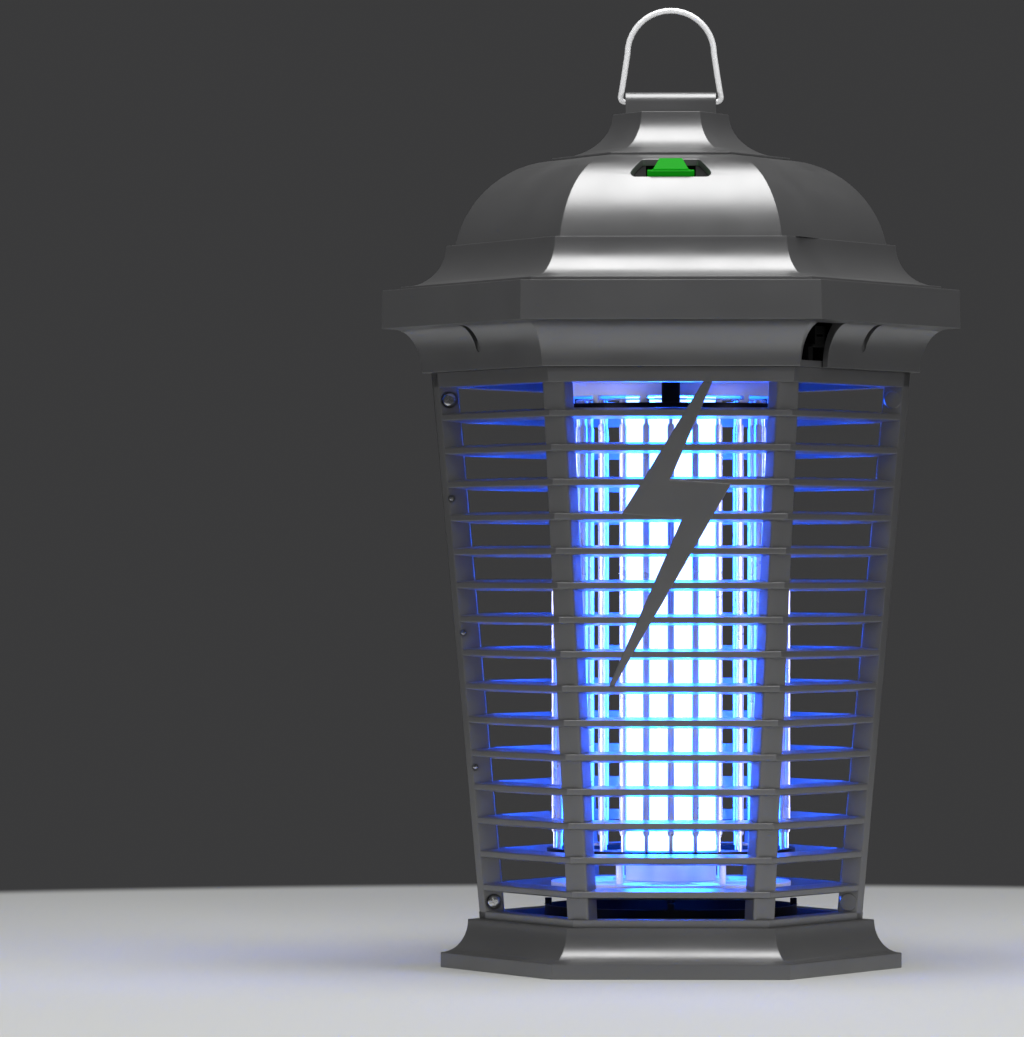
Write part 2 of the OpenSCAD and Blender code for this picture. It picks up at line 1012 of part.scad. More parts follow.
module inner_bus_ring() {
    z = top_plate_z + plate_t + head_l;
    color(steel)
        ring(inner_ring_r + 1, inner_ring_r - 1, z, z + bus_t);
}

module grid_leads() {
    top = board_z + 2.6;
    color([0.7, 0.1, 0.1]) {
        rod(lead_r, 0, inner_ring_r, top_plate_z + plate_t + head_l + bus_t, top);
        rod(lead_r, 0, outer_ring_r, top_plate_z + plate_t + head_l, top);
    }
}

// Posts that carry the grid under the ceiling, over three of the outer rods
module grid_hangers() {
    z = top_plate_z + plate_t;
    color(black_plastic)
        around(3, outer_ring_r, 30)
            difference() {
                rod(hanger_r, 0, 0, z, cage_z1);
                rod(outer_rod_d / 2 + 0.3, 0, 0, z - 1, z + head_l + 0.4);
            }
}

module spacer_posts() {
    color(pale_plastic)
        around(6, post_ring_r, 0)
            rod(1.35, 0, 0, spider_z + plate_t, bottom_plate_z);
}

// Plate with openings that let insects fall into the tray
module bottom_spider() {
    color(pale_plastic)
        difference() {
            rod(spider_r, 0, 0, spider_z, spider_z + plate_t);
            intersection() {
                ring(36, 20, spider_z - 1, spider_z + plate_t + 1);
                for (i = [0 : 5])
                    rotate([0, 0, 60 * i + 8])
                        sector(44);
            }
        }
}

// ---- Electronics, inside the upper housing ----

module circuit_board() {
    color([0.1, 0.35, 0.16])
        difference() {
            translate([-48, 26, board_z])
                cube([96, 40, 1.6]);
            for (y = [inner_ring_r, outer_ring_r])
                rod(lead_r, 0, y, board_z - 1, board_z + 3);
        }
}

module board_spacers() {
    color(pale_plastic)
        for (x = [-44, 44])
            for (y = [30, 62])
                rod(2.5, x, y, deck_z, board_z);
}

module hv_transformer() {
    color([0.8, 0.6, 0.15])
        union() {
            translate([-38, 34, board_z + 1.6])
                cube([22, 20, 3]);
            translate([-27, 44, board_z + 4])
                cylinder(r = 8.5, h = 11);
            translate([-38, 34, board_z + 14.5])
                cube([22, 20, 3]);
        }
}

module capacitors() {
    color([0.2, 0.2, 0.6])
        for (x = [10, 21, 32])
            rod(4.6, x, 56, board_z + 1.6, board_z + 14);
}

module lamp_ballast() {
    color([0.25, 0.25, 0.27])
        translate([-22, -62, deck_z])
            cube([44, 30, 20]);
}

base_plinth();
base_screws();
catch_tray();
front_cage_frame();
front_louvres();
front_left_louvres();
front_right_louvres();
rear_cage_frame();
rear_louvres();
rear_left_louvres();
rear_right_louvres();
lightning_bolt();
flange_screws();
flange_pins();
upper_housing();
ceiling_plate();
ceiling_screws();
mains_inlet();
roof_skirt();
roof_dome();
roof_screws();
cupola_cap();
hanger_lug();
hanger_screw();
hanging_ring();
switch_bezel();
switch_body();
power_rocker();
lamp_collar();
lamp_socket();
lamp_base();
lamp_tubes();
lamp_end_cap();
grid_hangers();
top_grid_plate();
outer_grid_rods();
inner_grid_rods();
bottom_grid_plate();
outer_bus_ring();
inner_bus_ring();
grid_leads();
spacer_posts();
bottom_spider();
circuit_board();
board_spacers();
hv_transformer();
capacitors();
lamp_ballast();
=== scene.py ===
"""Builds the shown pieces, finishes and stage of a hexagonal lantern insect trap."""

import math

import bmesh
import bpy
from mathutils import Matrix, Vector


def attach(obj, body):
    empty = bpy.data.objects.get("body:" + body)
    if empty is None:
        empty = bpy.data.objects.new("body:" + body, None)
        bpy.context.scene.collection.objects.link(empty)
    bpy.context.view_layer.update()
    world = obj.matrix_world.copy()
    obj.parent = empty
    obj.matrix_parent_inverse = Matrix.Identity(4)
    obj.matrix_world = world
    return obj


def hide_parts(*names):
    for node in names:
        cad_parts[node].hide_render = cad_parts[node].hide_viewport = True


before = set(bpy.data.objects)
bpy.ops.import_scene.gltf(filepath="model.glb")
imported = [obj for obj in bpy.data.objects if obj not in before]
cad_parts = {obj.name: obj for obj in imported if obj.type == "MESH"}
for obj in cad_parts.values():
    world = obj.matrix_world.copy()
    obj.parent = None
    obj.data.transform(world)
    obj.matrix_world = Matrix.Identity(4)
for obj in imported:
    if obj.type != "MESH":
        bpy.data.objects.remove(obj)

bl_info = {
    "name": "Lantern Insect Trap",
    "version": (1, 0, 0),
    "blender": (4, 5, 0),
    "location": "3D View > Sidebar > Insect Trap",
    "description": "Builds the shown pieces, finishes and stage of a hexagonal lantern insect trap",
    "category": "Object",
}

MM = 0.001
ACROSS = math.cos(math.radians(30))

# Cage: its heights, its corner radius at the foot and how that grows with height. Millimetres.
CAGE_FOOT = 18.3
CAGE_TOP = 225.3
CORNER_FOOT = 72.3
CORNER_GROWTH = 18.4 / 207
BOTTOM_RAIL = 3.0
TOP_RAIL = 5.6
FIRST_SLAT = CAGE_TOP - 17
FLANGE = 4.0

# Corner posts: half width, and how far in from the cage's outline or corner they lie.
POST_HALF = 4.6
POST_SETBACK = 0.9
POST_FLAT = 3.2
POST_BACK = 10.4

# Screws and locating pins in the flanges: heights, and distance in from the corner.
SCREW_HEIGHTS = (25.0, 215.0)
SCREW_INSET = 5.9
SCREW_SEAT = 2.0
PIN_HEIGHTS = (76.0, 126.8, 177.6)
PIN_INSET = 3.5
PIN_SEAT = 2.8

# Height of the hanging ring's pivot.
PIVOT = 328.0

# Depth of the grain in the surfaces, in metres.
GRAIN_DEPTH = 0.00003

finishes = {}


# ---- Sizes and colours ----


class TrapSizes(bpy.types.PropertyGroup):
    slat_count: bpy.props.IntProperty(
        name="Slats",
        description="Louvre slats, one above the other",
        default=15,
        min=13,
        max=15,
    )
    slat_pitch: bpy.props.FloatProperty(
        name="Slat pitch",
        description="Distance from one slat to the next",
        default=0.0127,
        unit="LENGTH",
        subtype="DISTANCE",
    )
    slat_edge: bpy.props.FloatProperty(
        name="Slat edge",
        description="Height of a slat at its outer edge",
        default=0.0023,
        unit="LENGTH",
        subtype="DISTANCE",
    )
    slat_root: bpy.props.FloatProperty(
        name="Slat root",
        description="Height of a slat at its inner edge",
        default=0.0043,
        unit="LENGTH",
        subtype="DISTANCE",
    )
    slat_depth: bpy.props.FloatProperty(
        name="Slat depth",
        description="Depth of slats and rails across a face",
        default=0.0082,
        unit="LENGTH",
        subtype="DISTANCE",
    )
    ring_wire: bpy.props.FloatProperty(
        name="Ring wire",
        description="Diameter of the hanging ring's wire",
        default=0.0022,
        unit="LENGTH",
        subtype="DISTANCE",
    )


class TrapFinishes(bpy.types.PropertyGroup):
    charcoal: bpy.props.FloatVectorProperty(
        name="Charcoal",
        description="Colour of the moulded shells and the cage",
        default=(0.049, 0.049, 0.050),
        size=3,
        min=0.0,
        max=1.0,
        subtype="COLOR",
    )
    switch_green: bpy.props.FloatVectorProperty(
        name="Switch green",
        description="Colour of the power rocker",
        default=(0.003, 0.20, 0.004),
        size=3,
        min=0.0,
        max=1.0,
        subtype="COLOR",
    )
    lamp_light: bpy.props.FloatVectorProperty(
        name="Lamp light",
        description="Colour that the lamp throws on the parts around it",
        default=(0.005, 0.10, 1.0),
        size=3,
        min=0.0,
        max=1.0,
        subtype="COLOR",
    )
    lamp_face: bpy.props.FloatVectorProperty(
        name="Lamp face",
        description="Colour of the lamp's glass when looked at",
        default=(0.015, 0.023, 0.026),
        size=3,
        min=0.0,
        max=1.0,
        subtype="COLOR",
    )
    lamp_power: bpy.props.FloatProperty(
        name="Lamp power",
        description="Strength of the lamp's glow",
        default=56.0,
        min=0.0,
    )


class TrapStage(bpy.types.PropertyGroup):
    floor_colour: bpy.props.FloatVectorProperty(
        name="Floor",
        description="Colour of the plain floor",
        default=(0.45, 0.455, 0.445),
        size=3,
        min=0.0,
        max=1.0,
        subtype="COLOR",
    )
    wall_colour: bpy.props.FloatVectorProperty(
        name="Wall",
        description="Colour of the plain surroundings",
        default=(0.043, 0.043, 0.044),
        size=3,
        min=0.0,
        max=1.0,
        subtype="COLOR",
    )
    overhead_power: bpy.props.FloatProperty(
        name="Overhead light",
        description="Power of the soft light above",
        default=18.5,
        min=0.0,
        unit="POWER",
    )
    front_power: bpy.props.FloatProperty(
        name="Front light",
        description="Power of the soft light in front",
        default=22.0,
        min=0.0,
        unit="POWER",
    )
    side_power: bpy.props.FloatProperty(
        name="Side lights",
        description="Power of each soft light at the sides",
        default=17.0,
        min=0.0,
        unit="POWER",
    )
    glow_power: bpy.props.FloatProperty(
        name="Louvre glow",
        description="Power of each strip that stands for light thrown back by the louvres",
        default=0.02,
        min=0.0,
        unit="POWER",
    )


# ---- Forms ----


def cage_corner(height):
    """Corner radius of the cage at a height, in millimetres."""
    return CORNER_FOOT + CORNER_GROWTH * (height - CAGE_FOOT)


def edges_among(verts):
    chosen = set(verts)
    found = {edge for vert in verts for edge in vert.link_edges}
    return [edge for edge in found if chosen.issuperset(edge.verts)]


def hexagon(bm, corner, height):
    """Six edges with corners on the X axis, sizes in millimetres."""
    place = Matrix.Translation((0, 0, height * MM)) @ Matrix.Rotation(math.radians(30), 4, "Z")
    made = bmesh.ops.create_circle(bm, segments=6, radius=corner * MM, matrix=place)
    return edges_among(made["verts"])


def hexagon_form(section, hollow=True):
    """Ring along a closed section of (corner radius, height), or a capped block."""
    bm = bmesh.new()
    rings = [hexagon(bm, corner, height) for corner, height in section]
    following = rings[1:] + rings[:1] if hollow else rings[1:]
    for ring, after in zip(rings, following):
        bmesh.ops.bridge_loops(bm, edges=ring + after)
    if not hollow:
        bmesh.ops.edgeloop_fill(bm, edges=rings[0])
        bmesh.ops.edgeloop_fill(bm, edges=rings[-1])
    bmesh.ops.recalc_face_normals(bm, faces=bm.faces[:])
    return bm


def lathed(profile, steps=32):
    """Round form about the Z axis from (radius, height) points in millimetres."""
    bm = bmesh.new()
    points = [bm.verts.new((radius * MM, 0, height * MM)) for radius, height in profile]
    edges = [bm.edges.new(pair) for pair in zip(points, points[1:])]
    bmesh.ops.spin(
        bm,
        geom=points + edges,
        cent=(0, 0, 0),
        axis=(0, 0, 1),
        angle=math.tau,
        steps=steps,
        use_merge=True,
    )
    bmesh.ops.remove_doubles(bm, verts=bm.verts[:], dist=1e-7)
    bmesh.ops.recalc_face_normals(bm, faces=bm.faces[:])
    return bm


def block(low, high):
    """Box between two corners in millimetres."""
    bm = bmesh.new()
    low, high = Vector(low) * MM, Vector(high) * MM
    place = Matrix.Translation((low + high) / 2) @ Matrix.Diagonal((*(high - low), 1))
    bmesh.ops.create_cube(bm, size=1, matrix=place)
    return bm


def placed(bm, *steps):
    """Turns and moves a form, the last step first."""
    whole = Matrix.Identity(4)
    for step in steps:
        whole = whole @ step
    bmesh.ops.transform(bm, matrix=whole, verts=bm.verts[:])
    return bm


def turned(degrees, axis="Z"):
    return Matrix.Rotation(math.radians(degrees), 4, axis)


def moved(x, y, z):
    return Matrix.Translation((x * MM, y * MM, z * MM))


def joined(forms):
    """One form from several."""
    whole = bmesh.new()
    for bm in forms:
        part = bpy.data.meshes.new("part")
        bm.to_mesh(part)
        bm.free()
        whole.from_mesh(part)
        bpy.data.meshes.remove(part)
    return whole


def repeated(bm, turns):
    """Copies of a form around the Z axis."""
    copies = []
    for degrees in turns:
        copies.append(placed(bm.copy(), turned(degrees)))
    bm.free()
    return joined(copies)


def sliced(bm, point, outwards):
    """Takes off what lies beyond a plane, and closes the cut."""
    cut = bmesh.ops.bisect_plane(
        bm,
        geom=bm.verts[:] + bm.edges[:] + bm.faces[:],
        dist=1e-8,
        plane_co=Vector(point) * MM,
        plane_no=outwards,
        clear_outer=True,
    )
    rim = [item for item in cut["geom_cut"] if isinstance(item, bmesh.types.BMEdge)]
    bmesh.ops.edgeloop_fill(bm, edges=rim)
    return bm


def softened(bm, width, segments=2, over=30):
    """Rounds the edges of a form that are sharper than an angle in degrees."""
    least = math.radians(over)
    sharp = [edge for edge in bm.edges if edge.is_manifold and edge.calc_face_angle(0) > least]
    bmesh.ops.bevel(
        bm,
        geom=sharp,
        offset=width * MM,
        offset_type="OFFSET",
        segments=segments,
        profile=0.5,
        affect="EDGES",
        material=-1,
    )
    return bm


def from_node(name):
    """Merged copy of a frame node, with its flat faces whole."""
    bm = bmesh.new()
    bm.from_mesh(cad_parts[name].data)
    bmesh.ops.remove_doubles(bm, verts=bm.verts[:], dist=2e-6)
    bmesh.ops.dissolve_limit(
        bm, angle_limit=math.radians(0.5), verts=bm.verts[:], edges=bm.edges[:]
    )
    return bm


def carved(bm, cutter):
    """A form less another."""
    pair = []
    for form in (bm, cutter):
        mesh = bpy.data.meshes.new("carving")
        form.to_mesh(mesh)
        form.free()
        pair.append(bpy.data.objects.new("carving", mesh))
        bpy.context.scene.collection.objects.link(pair[-1])
    body, tool = pair
    change = body.modifiers.new("Carve", "BOOLEAN")
    change.operation = "DIFFERENCE"
    change.solver = "EXACT"
    change.object = tool
    result = bmesh.new()
    result.from_object(body, bpy.context.evaluated_depsgraph_get())
    for obj in pair:
        mesh = obj.data
        bpy.data.objects.remove(obj)
        bpy.data.meshes.remove(mesh)
    return result


def shown(name, bm, finish, body="body", replaced=(), sharp_over=35, evened=True):
    """Makes a form a finished object that rides on its body."""
    for face in bm.faces:
        face.smooth = True
    for edge in bm.edges:
        edge.smooth = edge.is_manifold and edge.calc_face_angle(0) < math.radians(sharp_over)
    mesh = bpy.data.meshes.new(name)
    bm.to_mesh(mesh)
    bm.free()
    obj = bpy.data.objects.new(name, mesh)
    bpy.context.scene.collection.objects.link(obj)
    mesh.materials.append(finishes[finish])
    if evened:
        evenly = obj.modifiers.new("Even shading", "WEIGHTED_NORMAL")
        evenly.keep_sharp = True
    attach(obj, body)
    if replaced:
        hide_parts(*replaced)
    return obj


def soft_node(node, finish, width=0.25, body="body", segments=2):
    """Shows a frame node with its edges rounded."""
    form = softened(from_node(node), width, segments)
    return shown(node + "_shown", form, finish, body, (node,))


# ---- Finishes ----


def put(tree, kind, wired=None, **settings):
    """Adds a shader node with its settings, inputs given by name or place."""
    made = tree.nodes.new(kind)
    for name, value in settings.items():
        setattr(made, name, value)
    for name, value in (wired or {}).items():
        if isinstance(value, bpy.types.NodeSocket):
            tree.links.new(value, made.inputs[name])
        else:
            made.inputs[name].default_value = value
    return made


def effect(name, wanted, given):
    """Empty shader group with named inputs and outputs."""
    group = bpy.data.node_groups.new(name, "ShaderNodeTree")
    for label, value in wanted:
        socket = group.interface.new_socket(label, in_out="INPUT", socket_type="NodeSocketFloat")
        socket.default_value = value
    for label in given:
        group.interface.new_socket(label, in_out="OUTPUT", socket_type="NodeSocketFloat")
    return group, put(group, "NodeGroupInput"), put(group, "NodeGroupOutput")


def moulded_grain():
    """Fine pebble and slow mottling of a moulded skin."""
    group, given, out = effect(
        "Moulded grain", (("Pebble scale", 2200.0), ("Mottle scale", 45.0)), ("Height", "Tone")
    )
    place = put(group, "ShaderNodeTexCoord").outputs["Object"]
    pebble = put(
        group,
        "ShaderNodeTexNoise",
        {"Vector": place, "Scale": given.outputs["Pebble scale"], "Detail": 2.0, "Roughness": 0.6},
    )
    mottle = put(
        group,
        "ShaderNodeTexNoise",
        {
            "Vector": place,
            "Scale": given.outputs["Mottle scale"],
            "Detail": 4.0,
            "Roughness": 0.55,
        },
    )
    group.links.new(pebble.outputs["Fac"], out.inputs["Height"])
    group.links.new(mottle.outputs["Fac"], out.inputs["Tone"])
    return group


def edge_wear():
    """Broken line along outer edges, where handling polishes or scuffs them."""
    group, given, out = effect("Edge wear", (("Amount", 0.5), ("Break scale", 160.0)), ("Mask",))
    rounded = put(group, "ShaderNodeBevel", {"Radius": 0.0007}, samples=4)
    facing = put(group, "ShaderNodeNewGeometry")
    alike = put(
        group,
        "ShaderNodeVectorMath",
        {0: rounded.outputs["Normal"], 1: facing.outputs["Normal"]},
        operation="DOT_PRODUCT",
    )
    near = put(
        group,
        "ShaderNodeMapRange",
        {"Value": alike.outputs["Value"], "From Min": 0.995, "From Max": 0.90},
    )
    place = put(group, "ShaderNodeTexCoord").outputs["Object"]
    broken = put(
        group,
        "ShaderNodeTexNoise",
        {"Vector": place, "Scale": given.outputs["Break scale"], "Detail": 5.0},
    )
    patches = put(
        group,
        "ShaderNodeMapRange",
        {"Value": broken.outputs["Fac"], "From Min": 0.42, "From Max": 0.62},
    )
    both = put(
        group,
        "ShaderNodeMath",
        {0: near.outputs["Result"], 1: patches.outputs["Result"]},
        operation="MULTIPLY",
    )
    strength = put(
        group,
        "ShaderNodeMath",
        {0: both.outputs["Value"], 1: given.outputs["Amount"]},
        operation="MULTIPLY",
    )
    group.links.new(strength.outputs["Value"], out.inputs["Mask"])
    return group


def settled_dust():
    """Thin dust on faces that look up."""
    group, given, out = effect("Settled dust", (("Amount", 0.2), ("Patch scale", 30.0)), ("Mask",))
    facing = put(group, "ShaderNodeNewGeometry")
    upward = put(group, "ShaderNodeSeparateXYZ", {"Vector": facing.outputs["Normal"]})
    level = put(
        group,
        "ShaderNodeMapRange",
        {"Value": upward.outputs["Z"], "From Min": 0.35, "From Max": 1.0},
    )
    place = put(group, "ShaderNodeTexCoord").outputs["Object"]
    patches = put(
        group,
        "ShaderNodeTexNoise",
        {"Vector": place, "Scale": given.outputs["Patch scale"], "Detail": 6.0, "Roughness": 0.7},
    )
    spread = put(
        group,
        "ShaderNodeMapRange",
        {"Value": patches.outputs["Fac"], "From Min": 0.35, "From Max": 0.75},
    )
    both = put(
        group,
        "ShaderNodeMath",
        {0: level.outputs["Result"], 1: spread.outputs["Result"]},
        operation="MULTIPLY",
    )
    strength = put(
        group,
        "ShaderNodeMath",
        {0: both.outputs["Value"], 1: given.outputs["Amount"]},
        operation="MULTIPLY",
    )
    group.links.new(strength.outputs["Value"], out.inputs["Mask"])
    return group


def drawn_lines():
    """Fine lines that drawing or turning leaves along a metal part's height."""
    group, given, out = effect("Drawn lines", (("Scale", 900.0),), ("Height", "Tone"))
    place = put(group, "ShaderNodeTexCoord").outputs["Object"]
    stretched = put(group, "ShaderNodeMapping", {"Vector": place, "Scale": (1.0, 1.0, 0.04)})
    lines = put(
        group,
        "ShaderNodeTexNoise",
        {"Vector": stretched.outputs["Vector"], "Scale": given.outputs["Scale"], "Detail": 3.0},
    )
    stains = put(group, "ShaderNodeTexNoise", {"Vector": place, "Scale": 70.0, "Detail": 4.0})
    group.links.new(lines.outputs["Fac"], out.inputs["Height"])
    group.links.new(stains.outputs["Fac"], out.inputs["Tone"])
    return group


def blended(tree, factor, one, other):
    """Colour between two, by a mask."""
    mix = tree.nodes.new("ShaderNodeMix")
    mix.data_type = "RGBA"
    if isinstance(factor, bpy.types.NodeSocket):
        tree.links.new(factor, mix.inputs["Factor"])
    else:
        mix.inputs["Factor"].default_value = factor
    for place, value in ((6, one), (7, other)):
        if isinstance(value, bpy.types.NodeSocket):
            tree.links.new(value, mix.inputs[place])
        else:
            mix.inputs[place].default_value = (*value, 1.0)
    return mix.outputs[2]


def surface(name):
    """New material, with its node tree and shader."""
    material = bpy.data.materials.new(name)
    material.use_nodes = True
    tree = material.node_tree
    shader = tree.nodes["Principled BSDF"]
    finishes[name] = material
    return tree, shader


def skin(name, colour, roughness, grain, wear, dust, pebble=2200.0, bump=0.12):
    """Moulded or painted skin: mottled colour, worn edges, dust and a fine pebble."""
    tree, shader = surface(name)
    moulded = put(tree, "ShaderNodeGroup", node_tree=bpy.data.node_groups["Moulded grain"])
    moulded.inputs["Pebble scale"].default_value = pebble
    worn = put(tree, "ShaderNodeGroup", node_tree=bpy.data.node_groups["Edge wear"])
    worn.inputs["Amount"].default_value = wear
    dusty = put(tree, "ShaderNodeGroup", node_tree=bpy.data.node_groups["Settled dust"])
    dusty.inputs["Amount"].default_value = dust
    darker = tuple(value * (1 - grain) for value in colour)
    lighter = tuple(min(1.0, value * (1 + grain)) for value in colour)
    pale = tuple(min(1.0, value * 1.9 + 0.02) for value in colour)
    base = blended(tree, moulded.outputs["Tone"], darker, lighter)
    base = blended(tree, worn.outputs["Mask"], base, pale)
    base = blended(tree, dusty.outputs["Mask"], base, (0.34, 0.32, 0.29))
    tree.links.new(base, shader.inputs["Base Color"])
    rough = put(
        tree,
        "ShaderNodeMapRange",
        {
            "Value": moulded.outputs["Tone"],
            "From Min": 0.3,
            "From Max": 0.7,
            "To Min": roughness - 0.04,
            "To Max": roughness + 0.05,
        },
    )
    tree.links.new(rough.outputs["Result"], shader.inputs["Roughness"])
    raised = put(
        tree,
        "ShaderNodeBump",
        {"Strength": bump, "Distance": GRAIN_DEPTH, "Height": moulded.outputs["Height"]},
    )
    tree.links.new(raised.outputs["Normal"], shader.inputs["Normal"])
    return tree, shader


def metal(name, colour, roughness, tarnish=0.75, bump=0.10):
    """Bare or plated metal with drawn lines and slow stains."""
    tree, shader = surface(name)
    lines = put(tree, "ShaderNodeGroup", node_tree=bpy.data.node_groups["Drawn lines"])
    stained = tuple(value * tarnish for value in colour)
    base = blended(tree, lines.outputs["Tone"], stained, colour)
    tree.links.new(base, shader.inputs["Base Color"])
    rough = put(
        tree,
        "ShaderNodeMapRange",
        {
            "Value": lines.outputs["Tone"],
            "From Min": 0.3,
            "From Max": 0.7,
            "To Min": roughness * 0.8,
            "To Max": roughness * 1.25,
        },
    )
    tree.links.new(rough.outputs["Result"], shader.inputs["Roughness"])
    shader.inputs["Metallic"].default_value = 1.0
    raised = put(
        tree,
        "ShaderNodeBump",
        {"Strength": bump, "Distance": GRAIN_DEPTH, "Height": lines.outputs["Height"]},
    )
    tree.links.new(raised.outputs["Normal"], shader.inputs["Normal"])
    return tree, shader


class TRAP_OT_finishes(bpy.types.Operator):
    """Makes the trap's finishes"""

    bl_idname = "trap.finishes"
    bl_label = "Finishes"

    def execute(self, context):
        chosen = context.scene.trap_finishes
        moulded_grain()
        edge_wear()
        settled_dust()
        drawn_lines()
        charcoal = tuple(chosen.charcoal)
        _, shell = skin("charcoal_shell", charcoal, 0.34, 0.05, 0.12, 0.03, bump=0.02)
        shell.inputs["IOR"].default_value = 2.35
        _, black = skin("black_plastic", (0.003, 0.003, 0.003), 0.55, 0.15, 0.2, 0.0, bump=0.04)
        black.inputs["Specular IOR Level"].default_value = 0.1
        _, pale = skin("pale_plastic", (0.66, 0.67, 0.70), 0.45, 0.04, 0.1, 0.05, bump=0.03)
        pale.inputs["Subsurface Weight"].default_value = 0.5
        pale.inputs["Subsurface Radius"].default_value = (1.0, 1.0, 1.0)
        pale.inputs["Subsurface Scale"].default_value = 0.003
        metal("screw_steel", (0.82, 0.82, 0.82), 0.22)
        _, wire = metal("ring_steel", (0.92, 0.92, 0.93), 0.26, 0.95, 0.03)
        wire.inputs["Metallic"].default_value = 0.4
        _, rods = metal("grid_steel", (0.78, 0.78, 0.82), 0.30, 0.9)
        rods.inputs["Metallic"].default_value = 0.6
        self.switch_green(tuple(chosen.switch_green))
        self.lamp_glass(chosen)
        skin("board", (0.020, 0.12, 0.035), 0.40, 0.25, 0.2, 0.2, pebble=900.0)
        self.winding()
        skin("capacitor_sleeve", (0.015, 0.03, 0.16), 0.30, 0.08, 0.2, 0.1)
        skin("ballast_case", (0.10, 0.10, 0.11), 0.42, 0.08, 0.3, 0.2)
        skin("lead_insulation", (0.32, 0.015, 0.012), 0.40, 0.10, 0.2, 0.1)
        return {"FINISHED"}

    def switch_green(self, colour):
        """Translucent green of the rocker, lit from behind by its own small lamp."""
        _, shader = skin("green_rocker", colour, 0.55, 0.06, 0.1, 0.0, bump=0.04)
        shader.inputs["Emission Color"].default_value = (0.02, 0.80, 0.03, 1.0)
        shader.inputs["Emission Strength"].default_value = 0.05
        shader.inputs["Specular IOR Level"].default_value = 0.1
        shader.inputs["Subsurface Weight"].default_value = 0.15
        shader.inputs["Subsurface Radius"].default_value = (0.2, 1.0, 0.2)
        shader.inputs["Subsurface Scale"].default_value = 0.001

    def lamp_glass(self, chosen):
        """Glowing glass, near white to look at, that throws deep blue light."""
        tree, shader = surface("uv_glass")
        grain = put(tree, "ShaderNodeGroup", node_tree=bpy.data.node_groups["Moulded grain"])
        seen = put(tree, "ShaderNodeLightPath")
        face = tuple(chosen.lamp_face)
        uneven = blended(
            tree, grain.outputs["Tone"], tuple(value * 0.9 for value in face), face
        )
        glow = blended(tree, seen.outputs["Is Camera Ray"], tuple(chosen.lamp_light), uneven)
        tree.links.new(glow, shader.inputs["Emission Color"])
        shader.inputs["Emission Strength"].default_value = chosen.lamp_power
        base = blended(tree, grain.outputs["Tone"], (0.75, 0.82, 0.90), (0.85, 0.90, 0.96))
        tree.links.new(base, shader.inputs["Base Color"])
        shader.inputs["Roughness"].default_value = 0.18

    def winding(self):
        """Yellow tape over the winding, with the turns as fine ridges."""
        tree, shader = surface("winding")
        place = put(tree, "ShaderNodeTexCoord").outputs["Object"]
        turns = put(
            tree,
            "ShaderNodeTexWave",
            {"Vector": place, "Scale": 420.0, "Distortion": 0.6, "Detail": 1.0},
            bands_direction="X",
        )
        base = blended(tree, turns.outputs["Fac"], (0.38, 0.22, 0.02), (0.66, 0.44, 0.08))
        tree.links.new(base, shader.inputs["Base Color"])
        shader.inputs["Roughness"].default_value = 0.32
        raised = put(
            tree,
            "ShaderNodeBump",
            {"Strength": 0.5, "Distance": 0.0002, "Height": turns.outputs["Fac"]},
        )
        tree.links.new(raised.outputs["Normal"], shader.inputs["Normal"])


# ---- Base and tray ----


class TRAP_OT_base(bpy.types.Operator):
    """Builds the base plinth, its screws and the catch tray"""

    bl_idname = "trap.base"
    bl_label = "Base and tray"

    def execute(self, context):
        soft_node("base_plinth", "charcoal_shell", 0.35)
        soft_node("base_screws", "screw_steel", 0.12)
        soft_node("catch_tray", "black_plastic", 0.3, body="tray")
        return {"FINISHED"}


# ---- Cage ----


